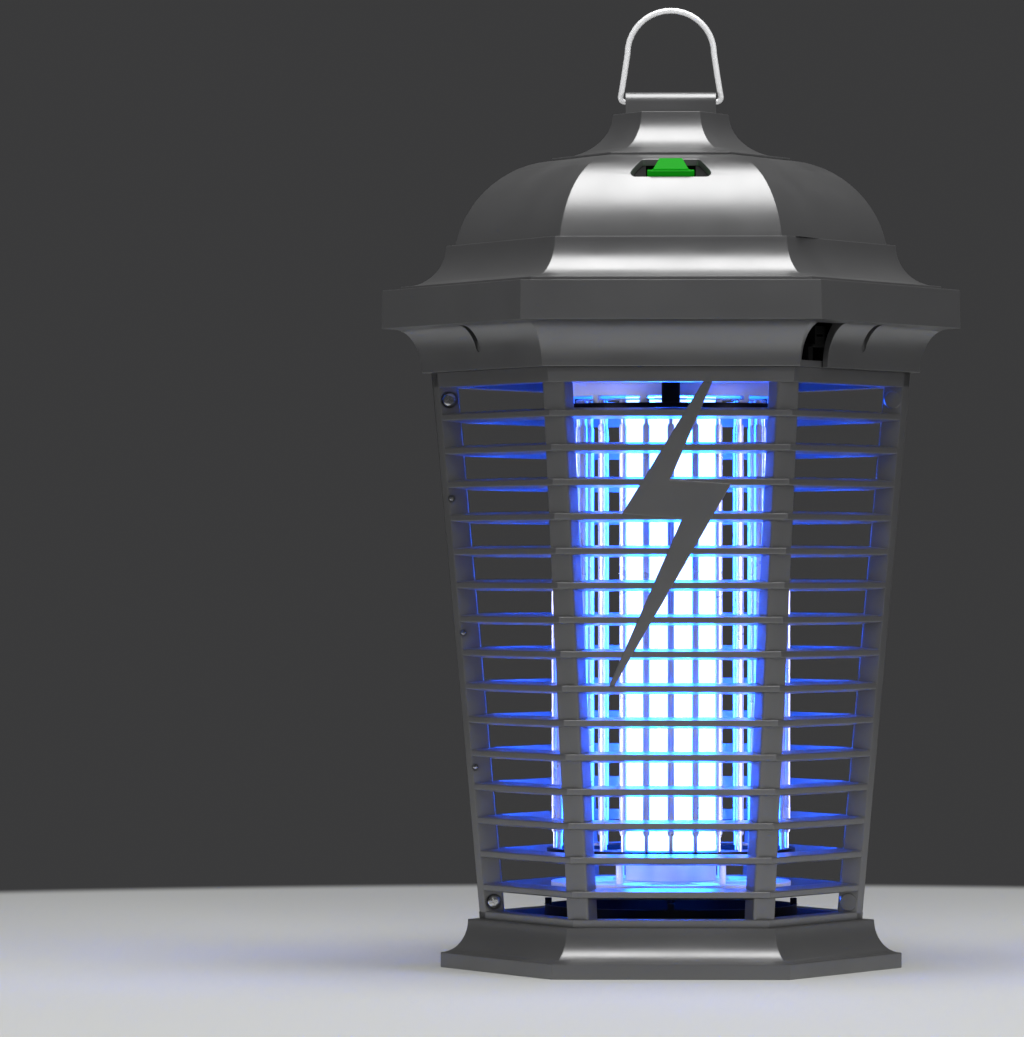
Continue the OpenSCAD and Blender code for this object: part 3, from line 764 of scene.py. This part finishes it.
class TRAP_OT_cage_frames(bpy.types.Operator):
    """Builds the rails, corner posts and flanges of the two cage halves"""

    bl_idname = "trap.cage_frames"
    bl_label = "Cage frames"

    def execute(self, context):
        depth = context.scene.trap_sizes.slat_depth / MM
        for side, turn in (("front", 0), ("rear", 180)):
            parts = [self.rail(CAGE_FOOT, CAGE_FOOT + BOTTOM_RAIL, depth)]
            parts.append(self.rail(CAGE_TOP - TOP_RAIL, CAGE_TOP, depth))
            parts += [self.post(240), self.post(300)]
            parts += [self.flange(-1, depth), self.flange(1, depth)]
            for height in SCREW_HEIGHTS:
                parts.append(self.boss(height))
            form = placed(joined(parts), turned(turn))
            node = side + "_cage_frame"
            shown(node + "_shown", form, "charcoal_shell", replaced=(node,))
        return {"FINISHED"}

    def rail(self, low, high, depth):
        """Half of a flat hexagonal ring."""
        inset = depth / ACROSS
        form = hexagon_form(
            [
                (cage_corner(low), low),
                (cage_corner(high), high),
                (cage_corner(high) - inset, high),
                (cage_corner(low) - inset, low),
            ]
        )
        bmesh.ops.bisect_plane(
            form,
            geom=form.verts[:] + form.edges[:] + form.faces[:],
            plane_co=(0, 0, 0),
            plane_no=(0, 1, 0),
            clear_outer=True,
        )
        bmesh.ops.holes_fill(form, edges=form.edges[:], sides=4)
        bmesh.ops.recalc_face_normals(form, faces=form.faces[:])
        return softened(form, 0.3)

    def outline(self, inset):
        """Solid of the cage's own outline."""
        return hexagon_form(
            [
                (cage_corner(CAGE_FOOT) - inset / ACROSS, CAGE_FOOT),
                (cage_corner(CAGE_TOP) - inset / ACROSS, CAGE_TOP),
            ],
            hollow=False,
        )

    def post(self, turn):
        """Corner post with a flat front, behind the slats' outer edges."""
        form = self.outline(POST_SETBACK)
        along = Vector((math.cos(math.radians(turn)), math.sin(math.radians(turn)), 0))
        across = Vector((-along.y, along.x, 0))
        sliced(form, across * POST_HALF, across)
        sliced(form, across * -POST_HALF, -across)
        lean = along - Vector((0, 0, CORNER_GROWTH))
        foot = Vector((0, 0, CAGE_FOOT))
        sliced(form, along * (CORNER_FOOT - POST_FLAT) + foot, lean)
        sliced(form, along * (CORNER_FOOT - POST_BACK) + foot, -lean)
        bmesh.ops.recalc_face_normals(form, faces=form.faces[:])
        return softened(form, 0.5, 3)

    def flange(self, side, depth):
        """Flat web at a joint between the halves, with the wells of its screws and pins."""
        form = self.outline(0)
        sliced(form, (0, 0, 0), (0, 1, 0))
        sliced(form, (0, -FLANGE, 0), (0, -1, 0))
        inner = Vector((side * (CORNER_FOOT - depth / ACROSS), 0, CAGE_FOOT))
        sliced(form, inner, Vector((-side, 0, CORNER_GROWTH)))
        bmesh.ops.recalc_face_normals(form, faces=form.faces[:])
        form = softened(form, 0.3)
        if side > 0:
            return form
        for height in SCREW_HEIGHTS:
            form = carved(form, self.well(3.4, 40, SCREW_INSET, SCREW_SEAT, height))
        for height in PIN_HEIGHTS:
            form = carved(form, self.well(1.6, 32, PIN_INSET, PIN_SEAT, height))
        return form

    def well(self, radius, steps, inset, seat, height):
        """Round cutter that leaves a flat seat in the left flange."""
        form = lathed([(0, 0), (radius, 0), (radius, 6), (0, 6)], steps)
        return placed(form, moved(inset - cage_corner(height), -seat, height), turned(90, "X"))

    def boss(self, height):
        """Plain round boss, the blind end of a screw hole."""
        profile = [(0, 0), (3.4, 0), (3.4, 0.35), (3.15, 0.6), (0, 0.6)]
        x = cage_corner(height) - SCREW_INSET
        return placed(lathed(profile, 40), moved(x, -FLANGE, height), turned(90, "X"))


class TRAP_OT_louvres(bpy.types.Operator):
    """Builds the louvre slats that run around each cage half"""

    bl_idname = "trap.louvres"
    bl_label = "Louvres"

    def execute(self, context):
        sizes = context.scene.trap_sizes
        pitch = sizes.slat_pitch / MM
        heights = [FIRST_SLAT - step * pitch for step in range(sizes.slat_count)]
        for side, turn in (("front", 0), ("rear", 180)):
            slats = [self.slat(height, sizes) for height in heights]
            nodes = tuple(side + part + "_louvres" for part in ("", "_left", "_right"))
            form = placed(joined(slats), turned(turn))
            shown(side + "_louvre_slats", form, "charcoal_shell", replaced=nodes)
        return {"FINISHED"}

    def slat(self, height, sizes):
        """One wedge-shaped slat over three faces of the cage."""
        half, root = sizes.slat_edge / MM / 2, sizes.slat_root / MM / 2
        inner = cage_corner(height) - sizes.slat_depth / MM / ACROSS
        form = hexagon_form(
            [
                (inner, height - root),
                (cage_corner(height - half), height - half),
                (cage_corner(height + half), height + half),
                (inner, height + root),
            ]
        )
        bmesh.ops.bisect_plane(
            form,
            geom=form.verts[:] + form.edges[:] + form.faces[:],
            plane_co=(0, -FLANGE * MM, 0),
            plane_no=(0, 1, 0),
            clear_outer=True,
        )
        bmesh.ops.holes_fill(form, edges=form.edges[:], sides=4)
        bmesh.ops.recalc_face_normals(form, faces=form.faces[:])
        return softened(form, 0.35, 3)


class TRAP_OT_emblem(bpy.types.Operator):
    """Builds the lightning bolt on the front louvres"""

    bl_idname = "trap.emblem"
    bl_label = "Lightning bolt"

    def execute(self, context):
        form = placed(from_node("lightning_bolt"), moved(0, -0.2, 0))
        softened(form, 0.35, 3, over=40)
        shown("lightning_bolt_shown", form, "charcoal_shell", replaced=("lightning_bolt",))
        return {"FINISHED"}


class TRAP_OT_fasteners(bpy.types.Operator):
    """Builds the screws and pins that hold the cage and the shells"""

    bl_idname = "trap.fasteners"
    bl_label = "Screws and pins"

    def execute(self, context):
        screws, pins = [], []
        for turn in (0, 180):
            for height in SCREW_HEIGHTS:
                place = moved(SCREW_INSET - cage_corner(height), -SCREW_SEAT, height)
                screws.append(placed(self.pan_head(), turned(turn), place, turned(90, "X")))
            for height in PIN_HEIGHTS:
                place = moved(PIN_INSET - cage_corner(height), 2.6, height)
                profile = [(0, 0), (0.9, 0), (0.9, 6.2), (0.6, 6.5), (0, 6.6)]
                pin = placed(lathed(profile, 20), turned(turn), place, turned(90, "X"))
                pins.append(pin)
        shown("flange_screws_shown", joined(screws), "screw_steel", replaced=("flange_screws",))
        shown("flange_pins_shown", joined(pins), "screw_steel", replaced=("flange_pins",))
        soft_node("ceiling_screws", "screw_steel", 0.12)
        soft_node("roof_screws", "screw_steel", 0.12)
        soft_node("hanger_screw", "screw_steel", 0.12)
        return {"FINISHED"}

    def pan_head(self):
        """Pan-head screw with a cross recess."""
        profile = [
            (0, -4.9), (1.2, -4.9), (1.5, -4.4), (1.5, 0), (2.9, 0), (2.9, 0.35),
            (2.75, 0.7), (2.35, 1.02), (1.7, 1.22), (0.9, 1.3), (0, 1.3),
        ]
        form = lathed(profile, 36)
        for turn in (20, 110):
            form = carved(form, placed(block((-1.65, -0.28, 0.55), (1.65, 0.28, 2)), turned(turn)))
        return form


# ---- Housing and roof ----


class TRAP_OT_housing(bpy.types.Operator):
    """Builds the upper housing, its ceiling plate and the mains inlet"""

    bl_idname = "trap.housing"
    bl_label = "Upper housing"

    def execute(self, context):
        soft_node("upper_housing", "charcoal_shell", 0.35)
        soft_node("ceiling_plate", "charcoal_shell", 0.3)
        soft_node("mains_inlet", "black_plastic", 0.2)
        return {"FINISHED"}


class TRAP_OT_roof(bpy.types.Operator):
    """Builds the three tiers of the roof"""

    bl_idname = "trap.roof"
    bl_label = "Roof"

    def execute(self, context):
        for node in ("roof_skirt", "roof_dome", "cupola_cap"):
            soft_node(node, "charcoal_shell", 0.3)
        return {"FINISHED"}


class TRAP_OT_hanger(bpy.types.Operator):
    """Builds the hanger lug and the wire ring that swings in it"""

    bl_idname = "trap.hanger"
    bl_label = "Hanger"

    def execute(self, context):
        soft_node("hanger_lug", "charcoal_shell", 0.3)
        self.ring(context.scene.trap_sizes.ring_wire / 2)
        return {"FINISHED"}

    def ring(self, radius):
        """Bent wire: two feet in the lug, two leaning legs and an arch."""
        arch, spring = 16.4, PIVOT + 18.3
        half = [(12.35, PIVOT), (17.2, PIVOT)]
        for degrees in (-72, -54, -36, -18, 0):
            turn = math.radians(degrees)
            half.append((17.3 + 1.7 * math.cos(turn), PIVOT + 1.75 + 1.7 * math.sin(turn)))
        half.append((arch + 1.35, spring - 9.0))
        for degrees in range(0, 90, 9):
            turn = math.radians(degrees)
            half.append((arch * math.cos(turn), spring + arch * math.sin(turn)))
        path = [(-x, z) for x, z in half] + [(0, spring + arch)] + half[::-1]
        curve = bpy.data.curves.new("ring_wire", "CURVE")
        curve.dimensions = "3D"
        curve.bevel_depth = radius
        curve.bevel_resolution = 6
        curve.use_fill_caps = True
        line = curve.splines.new("POLY")
        line.points.add(len(path) - 1)
        for point, (x, z) in zip(line.points, path):
            point.co = (x * MM, 0, z * MM, 1)
        wire = bpy.data.objects.new("ring_wire", curve)
        bpy.context.scene.collection.objects.link(wire)
        mesh = bpy.data.meshes.new_from_object(wire)
        form = bmesh.new()
        form.from_mesh(mesh)
        bpy.data.objects.remove(wire)
        bpy.data.curves.remove(curve)
        bpy.data.meshes.remove(mesh)
        bmesh.ops.remove_doubles(form, verts=form.verts[:], dist=1e-7)
        bmesh.ops.recalc_face_normals(form, faces=form.faces[:])
        shown("hanging_ring_shown", form, "ring_steel", "ring", ("hanging_ring",), 50, False)


class TRAP_OT_switch(bpy.types.Operator):
    """Builds the power rocker, its bezel and its body"""

    bl_idname = "trap.switch"
    bl_label = "Power switch"

    def execute(self, context):
        soft_node("switch_bezel", "black_plastic", 0.2)
        soft_node("switch_body", "black_plastic", 0.3)
        soft_node("power_rocker", "green_rocker", 0.5, body="rocker", segments=4)
        return {"FINISHED"}


# ---- Lamp and grid ----


class TRAP_OT_lamp(bpy.types.Operator):
    """Builds the lamp, its socket and the collar around it"""

    bl_idname = "trap.lamp"
    bl_label = "Lamp"

    def execute(self, context):
        soft_node("lamp_collar", "pale_plastic", 0.25)
        soft_node("lamp_socket", "pale_plastic", 0.3)
        soft_node("lamp_base", "pale_plastic", 0.4)
        soft_node("lamp_end_cap", "pale_plastic", 0.6, segments=3)
        shown("lamp_tubes_shown", from_node("lamp_tubes"), "uv_glass", replaced=("lamp_tubes",))
        return {"FINISHED"}


class TRAP_OT_grid(bpy.types.Operator):
    """Builds the charged grid: rods, plates, bus rings, leads and supports"""

    bl_idname = "trap.grid"
    bl_label = "Charged grid"

    def execute(self, context):
        for node in ("top_grid_plate", "bottom_grid_plate", "grid_hangers"):
            soft_node(node, "black_plastic", 0.25)
        soft_node("bottom_spider", "pale_plastic", 0.3)
        soft_node("spacer_posts", "pale_plastic", 0.2)
        self.rods("outer_grid_rods", 30, 44.0, 6, 1.3)
        self.rods("inner_grid_rods", 24, 35.0, 0, 1.0)
        soft_node("outer_bus_ring", "grid_steel", 0.1)
        soft_node("inner_bus_ring", "grid_steel", 0.1)
        soft_node("grid_leads", "lead_insulation", 0.1)
        return {"FINISHED"}

    def rods(self, node, count, ring, start, radius):
        """Ring of turned rods with necks through the plates and headed ends."""
        profile = [
            (0, 42.3), (radius - 0.3, 42.3), (radius, 42.6), (radius, 43.5), (0.7, 43.5),
            (0.7, 51.5), (radius - 0.35, 51.5), (radius, 52.2), (radius, 204.3),
            (radius - 0.35, 205), (0.7, 205), (0.7, 213), (radius, 213), (radius, 213.9),
            (radius - 0.3, 214.2), (0, 214.2),
        ]
        rod = placed(lathed(profile, 14), moved(ring, 0, 0))
        form = repeated(rod, [start + step * 360 / count for step in range(count)])
        shown(node + "_shown", form, "grid_steel", replaced=(node,), evened=False)


class TRAP_OT_electronics(bpy.types.Operator):
    """Builds the board, transformer, capacitors and ballast in the housing"""

    bl_idname = "trap.electronics"
    bl_label = "Electronics"

    def execute(self, context):
        soft_node("circuit_board", "board", 0.15)
        soft_node("board_spacers", "pale_plastic", 0.2)
        soft_node("hv_transformer", "winding", 0.3)
        soft_node("capacitors", "capacitor_sleeve", 0.5, segments=3)
        soft_node("lamp_ballast", "ballast_case", 0.8, segments=3)
        return {"FINISHED"}


# ---- Stage ----


class TRAP_OT_stage(bpy.types.Operator):
    """Sets the plain floor, the soft lights and the camera"""

    bl_idname = "trap.stage"
    bl_label = "Stage"

    def execute(self, context):
        chosen = context.scene.trap_stage
        self.floor(tuple(chosen.floor_colour), tuple(chosen.wall_colour))
        self.surroundings(context.scene, tuple(chosen.wall_colour))
        self.light("overhead", (0.05, -0.20, 1.30), (1.1, 0.95), chosen.overhead_power)
        self.light("front", (0.15, -2.10, 1.25), (0.9, 0.6), chosen.front_power, False)
        self.light("right_side", (1.5, -1.1, 0.45), (0.9, 0.9), chosen.side_power, False)
        self.light("left_side", (-1.6, -0.9, 0.15), (0.6, 0.6), chosen.side_power, False)
        self.glow(chosen.glow_power)
        self.camera(context.scene)
        context.scene.view_settings.view_transform = "Standard"
        return {"FINISHED"}

    def floor(self, pale, wall):
        """Round plain floor that fades out at its rim."""
        form = bmesh.new()
        bmesh.ops.create_circle(form, cap_ends=True, segments=128, radius=1.1)
        mesh = bpy.data.meshes.new("floor")
        form.to_mesh(mesh)
        form.free()
        floor = bpy.data.objects.new("floor", mesh)
        bpy.context.scene.collection.objects.link(floor)
        material = bpy.data.materials.new("plain_floor")
        material.use_nodes = True
        tree = material.node_tree
        shader = tree.nodes["Principled BSDF"]
        place = put(tree, "ShaderNodeTexCoord").outputs["Object"]
        away = put(tree, "ShaderNodeVectorMath", {0: place}, operation="LENGTH")
        rim = put(
            tree,
            "ShaderNodeMapRange",
            {"Value": away.outputs["Value"], "From Min": 0.62, "From Max": 0.68},
            interpolation_type="SMOOTHSTEP",
        )
        colour = blended(tree, rim.outputs["Result"], pale, (0.0, 0.0, 0.0))
        tree.links.new(colour, shader.inputs["Base Color"])
        far = blended(tree, rim.outputs["Result"], (0.0, 0.0, 0.0), wall)
        tree.links.new(far, shader.inputs["Emission Color"])
        shader.inputs["Emission Strength"].default_value = 1.0
        shader.inputs["Roughness"].default_value = 0.6
        shader.inputs["Specular IOR Level"].default_value = 0.0
        mesh.materials.append(material)

    def surroundings(self, scene, wall):
        """Plain even light from all round, in the colour of the walls."""
        world = bpy.data.worlds.new("plain_surroundings")
        world.use_nodes = True
        world.node_tree.nodes["Background"].inputs["Color"].default_value = (*wall, 1.0)
        scene.world = world

    def light(self, name, place, size, power, mirrored=True):
        """Soft panel that faces the middle of the trap, seen in glossy parts if mirrored."""
        lamp = bpy.data.lights.new(name, "AREA")
        lamp.shape = "RECTANGLE"
        lamp.size, lamp.size_y = size
        lamp.energy = power
        panel = bpy.data.objects.new(name, lamp)
        aim = Vector((0, 0, 0.18)) - Vector(place)
        panel.rotation_euler = aim.to_track_quat("-Z", "Y").to_euler()
        panel.location = place
        panel.visible_glossy = mirrored
        bpy.context.scene.collection.objects.link(panel)

    def glow(self, power):
        """Strips behind the corner posts, for the lamp's light thrown back by the louvres."""
        ring, middle, width, length = 0.062, 0.125, 0.004, 0.17
        for step in range(6):
            turn = math.radians(60 * step)
            lamp = bpy.data.lights.new("glow", "AREA")
            lamp.shape = "RECTANGLE"
            lamp.size, lamp.size_y = width, length
            lamp.energy = power
            lamp.color = (0.60, 0.60, 1.0)
            lamp.spread = math.radians(70)
            strip = bpy.data.objects.new("glow", lamp)
            strip.location = (ring * math.cos(turn), ring * math.sin(turn), middle)
            strip.rotation_euler = (math.radians(90), 0, turn + math.radians(90))
            strip.visible_camera = False
            bpy.context.scene.collection.objects.link(strip)

    def camera(self, scene):
        """Long lens, level with the cage, a little to the left of the trap."""
        lens = bpy.data.cameras.new("camera")
        lens.lens = 226.6
        lens.sensor_width = 36.0
        lens.clip_start = 0.05
        eye = bpy.data.objects.new("camera", lens)
        eye.location = (0, -2.475, 0.150)
        eye.rotation_euler = (math.radians(90.465), 0, math.radians(1.394))
        scene.collection.objects.link(eye)
        scene.camera = eye


class TRAP_PT_panel(bpy.types.Panel):
    """Lists the trap's sizes, finishes and steps"""

    bl_idname = "TRAP_PT_panel"
    bl_label = "Insect Trap"
    bl_space_type = "VIEW_3D"
    bl_region_type = "UI"
    bl_category = "Insect Trap"

    def draw(self, context):
        column = self.layout.column()
        for group in (
            context.scene.trap_sizes,
            context.scene.trap_finishes,
            context.scene.trap_stage,
        ):
            for name in group.bl_rna.properties.keys():
                if name not in {"rna_type", "name"}:
                    column.prop(group, name)
            column.separator()
        for step in STEPS:
            column.operator(step.bl_idname)


GROUPS = (TrapSizes, TrapFinishes, TrapStage)
STEPS = (
    TRAP_OT_finishes,
    TRAP_OT_base,
    TRAP_OT_cage_frames,
    TRAP_OT_louvres,
    TRAP_OT_emblem,
    TRAP_OT_fasteners,
    TRAP_OT_housing,
    TRAP_OT_roof,
    TRAP_OT_hanger,
    TRAP_OT_switch,
    TRAP_OT_lamp,
    TRAP_OT_grid,
    TRAP_OT_electronics,
    TRAP_OT_stage,
)


def register():
    for kind in GROUPS + STEPS + (TRAP_PT_panel,):
        bpy.utils.register_class(kind)
    bpy.types.Scene.trap_sizes = bpy.props.PointerProperty(type=TrapSizes)
    bpy.types.Scene.trap_finishes = bpy.props.PointerProperty(type=TrapFinishes)
    bpy.types.Scene.trap_stage = bpy.props.PointerProperty(type=TrapStage)


def unregister():
    del bpy.types.Scene.trap_stage
    del bpy.types.Scene.trap_finishes
    del bpy.types.Scene.trap_sizes
    for kind in reversed(GROUPS + STEPS + (TRAP_PT_panel,)):
        bpy.utils.unregister_class(kind)


def main():
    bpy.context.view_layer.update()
    register()
    for step in STEPS:
        getattr(bpy.ops.trap, step.bl_idname.split(".")[1])()


if __name__ == "__main__":
    main()
